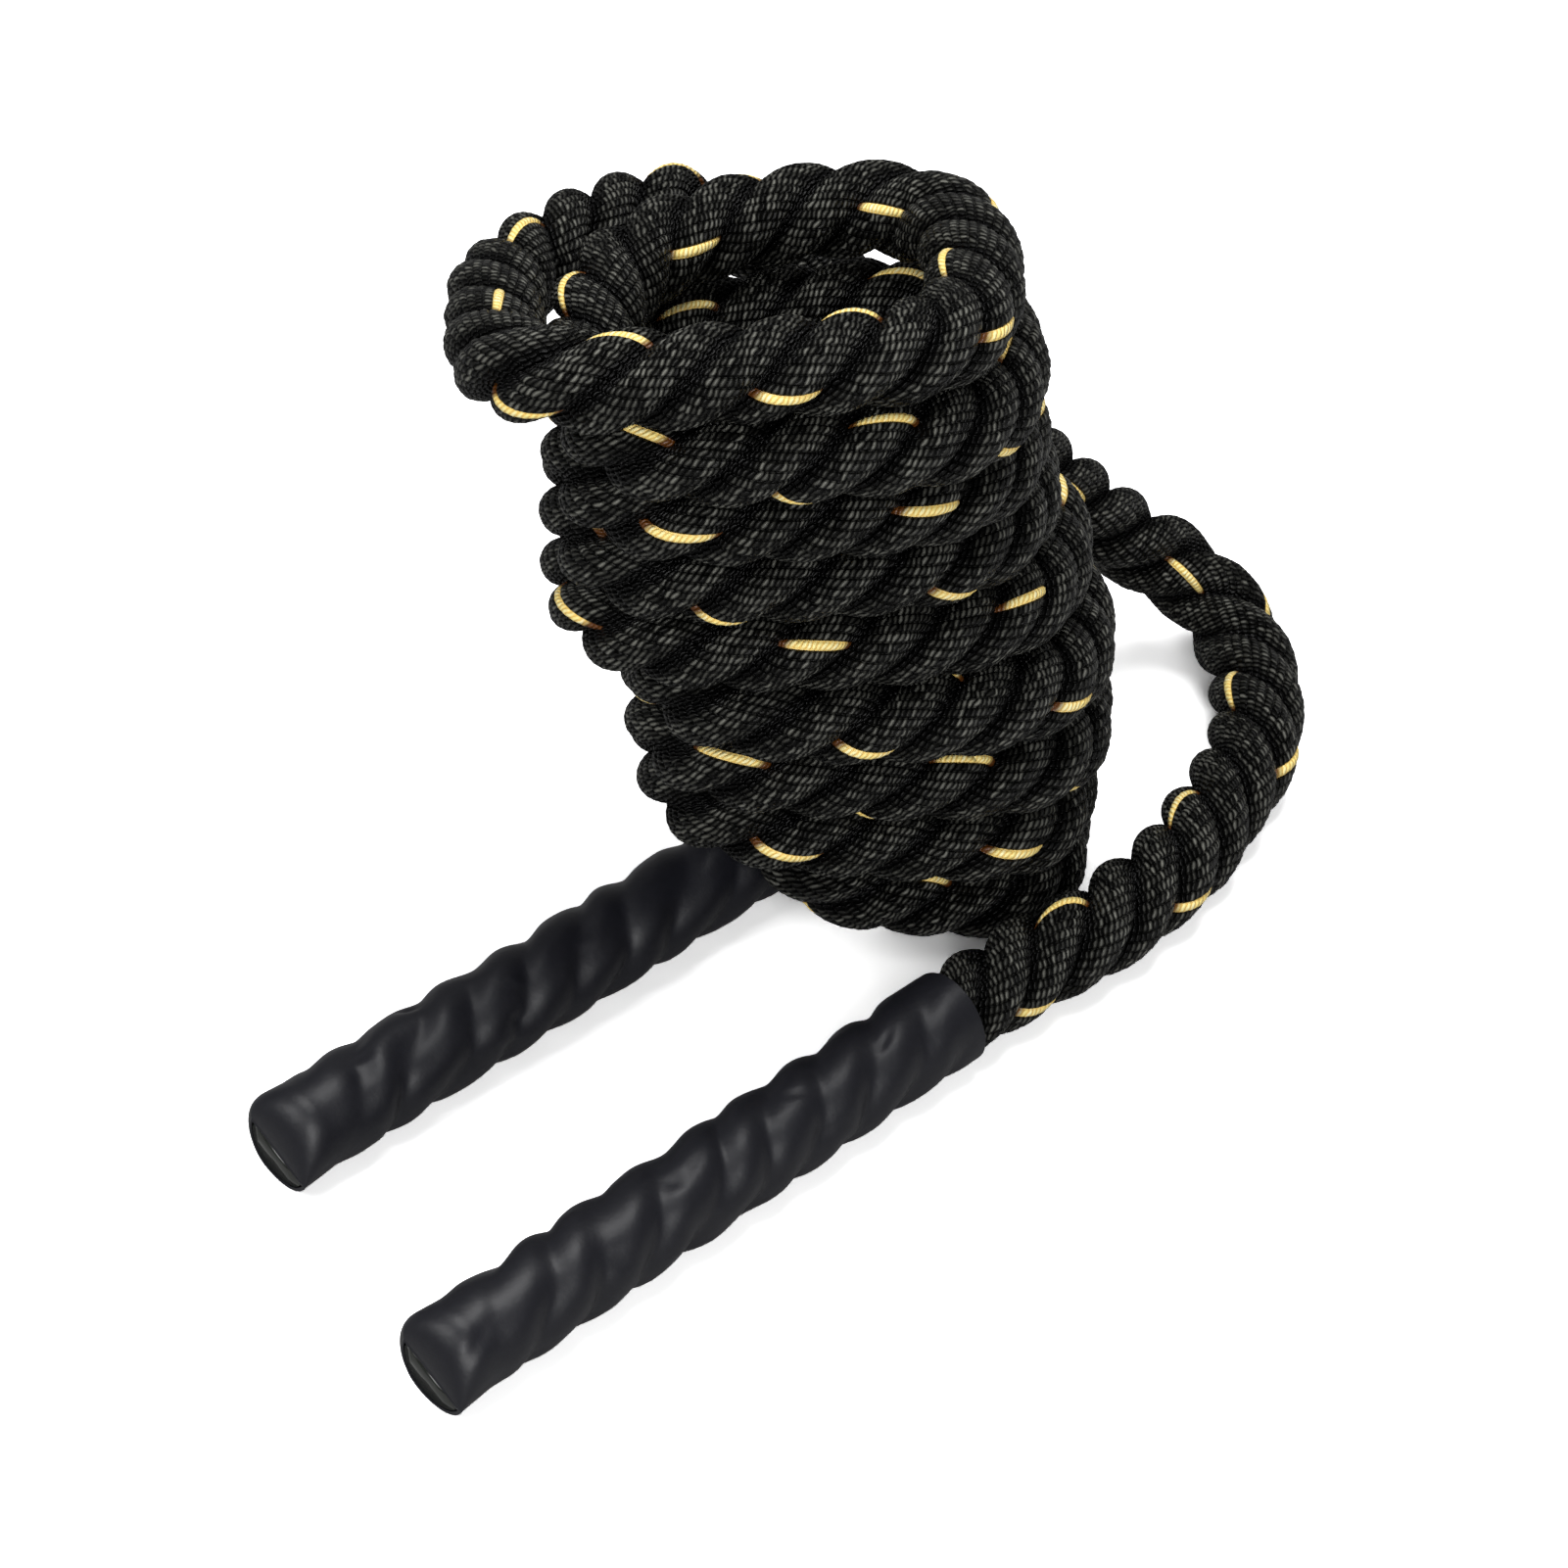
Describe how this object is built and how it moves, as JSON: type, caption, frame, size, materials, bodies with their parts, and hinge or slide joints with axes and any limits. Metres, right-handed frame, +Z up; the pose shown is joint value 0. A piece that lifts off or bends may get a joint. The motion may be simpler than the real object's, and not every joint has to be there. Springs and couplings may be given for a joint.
{
  "type": "battle rope",
  "caption": "Heavy three-strand training rope in a leaning stacked coil, with a shrunk sleeve as a grip over each end.",
  "frame": {"origin": "middle of the part's box on the floor that it rests on", "axes": "+Z up; +X to the right and +Y away from the pictured side, so both handles point towards -X and -Y"},
  "size_m": [0.4206, 0.4646, 0.3405],
  "materials": {
    "rope": "black laid rope of satin filament yarns, with one gold tracer yarn",
    "sleeve": "satin heat-shrunk sleeve, black with a trace of blue",
    "cap": "dark end cap",
    "twine": "dark whipping twine"
  },
  "bodies": {
    "root": {"rope_coil": "rope", "rope_lead": "rope", "rope_tail": "rope", "lead_rope_end": "rope", "lead_end_whipping": "twine", "lead_end_cap": "cap", "lead_handle_sleeve": "sleeve", "tail_rope_end": "rope", "tail_end_whipping": "twine", "tail_end_cap": "cap", "tail_handle_sleeve": "sleeve"}
  },
  "joints": []
}
